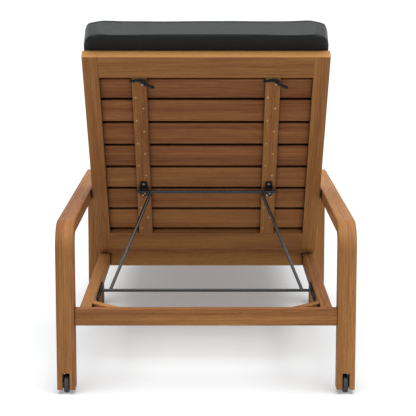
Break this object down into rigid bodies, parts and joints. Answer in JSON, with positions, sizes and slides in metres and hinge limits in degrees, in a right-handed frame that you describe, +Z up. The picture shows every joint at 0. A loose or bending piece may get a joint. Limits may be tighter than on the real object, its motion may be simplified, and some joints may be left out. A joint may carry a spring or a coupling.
{
  "type": "reclining sun lounger",
  "caption": "Wooden sun lounger with looped arms, rear wheels, a cushioned slatted seat and a hinged slatted back held up by a steel prop standing in notched racks.",
  "frame": {"origin": "on the floor under the middle of the lounger's box", "axes": "+X across, +Y along the bed towards the foot end, +Z up"},
  "size_m": [0.75, 2, 0.9302],
  "materials": {
    "teak": "oiled, planed teak with eased edges",
    "teak_slats": "oiled, planed teak, a shade darker",
    "black_steel": "black powder coat, satin",
    "prop_steel": "dark grey powder coat, satin",
    "plated_steel": "zinc plated",
    "wheel_nylon": "moulded, matte",
    "cushion_canvas": "charcoal woven outdoor canvas",
    "tie_tape": "black woven tape"
  },
  "bodies": {
    "frame": {"rear_leg_left": "teak", "rear_leg_right": "teak", "rear_corner_left": "teak", "rear_corner_right": "teak", "armrest_left": "teak", "armrest_right": "teak", "front_corner_left": "teak", "front_corner_right": "teak", "front_arm_leg_left": "teak", "front_arm_leg_right": "teak", "side_rail_left": "teak", "side_rail_right": "teak", "rail_spacer_left": "teak", "rail_spacer_right": "teak", "rear_crossbeam": "teak", "hinge_crossbeam": "teak", "middle_crossbeam": "teak", "foot_crossbeam": "teak", "rear_brace_left": "teak", "rear_brace_right": "teak", "foot_brace_left": "teak", "foot_brace_right": "teak", "foot_leg_left": "teak", "foot_leg_right": "teak", "rack_left": "black_steel", "rack_right": "black_steel", "wheel_axle_left": "plated_steel", "wheel_axle_right": "plated_steel", "seat_stile_left": "teak", "seat_stile_right": "teak", "seat_head_rail": "teak", "seat_foot_rail": "teak", "seat_slats": "teak_slats", "seat_hinge_leaf_left": "plated_steel", "seat_hinge_leaf_right": "plated_steel", "seat_cushion": "cushion_canvas"},
    "back": {"back_stile_left": "teak", "back_stile_right": "teak", "back_top_rail": "teak", "back_bottom_rail": "teak", "back_slat_1": "teak_slats", "back_slat_2": "teak_slats", "back_slat_3": "teak_slats", "back_slat_4": "teak_slats", "back_slat_5": "teak_slats", "back_slat_6": "teak_slats", "back_slat_7": "teak_slats", "back_batten_left": "teak", "back_batten_right": "teak", "rod_bracket_left": "black_steel", "rod_bracket_right": "black_steel", "back_hinge_leaf_left": "plated_steel", "back_hinge_leaf_right": "plated_steel", "back_cushion": "cushion_canvas", "cushion_tie_left": "tie_tape", "cushion_tie_right": "tie_tape"},
    "prop": {"prop_frame": "prop_steel"},
    "wheel_left": {"wheel_left": "wheel_nylon"},
    "wheel_right": {"wheel_right": "wheel_nylon"}
  },
  "joints": [
    {"name": "back_recline", "type": "hinge", "parent": "frame", "child": "back", "pos_m": [0, -0.2665, 0.248], "axis": [-1, 0, 0], "range_deg": [-52.3, 7]},
    {"name": "prop_swing", "type": "hinge", "parent": "back", "child": "prop", "pos_m": [0, -0.46298, 0.43599], "axis": [-1, 0, 0], "range_deg": [-13.8, 102.4]},
    {"name": "wheel_left_spin", "type": "hinge", "parent": "frame", "child": "wheel_left", "pos_m": [-0.352, -0.975, 0.024], "axis": [1, 0, 0], "continuous": true},
    {"name": "wheel_right_spin", "type": "hinge", "parent": "frame", "child": "wheel_right", "pos_m": [0.352, -0.975, 0.024], "axis": [1, 0, 0], "continuous": true}
  ],
  "couplings": [
    {"joint": "prop_swing", "follows": "back_recline", "ratio": -1.955}
  ]
}
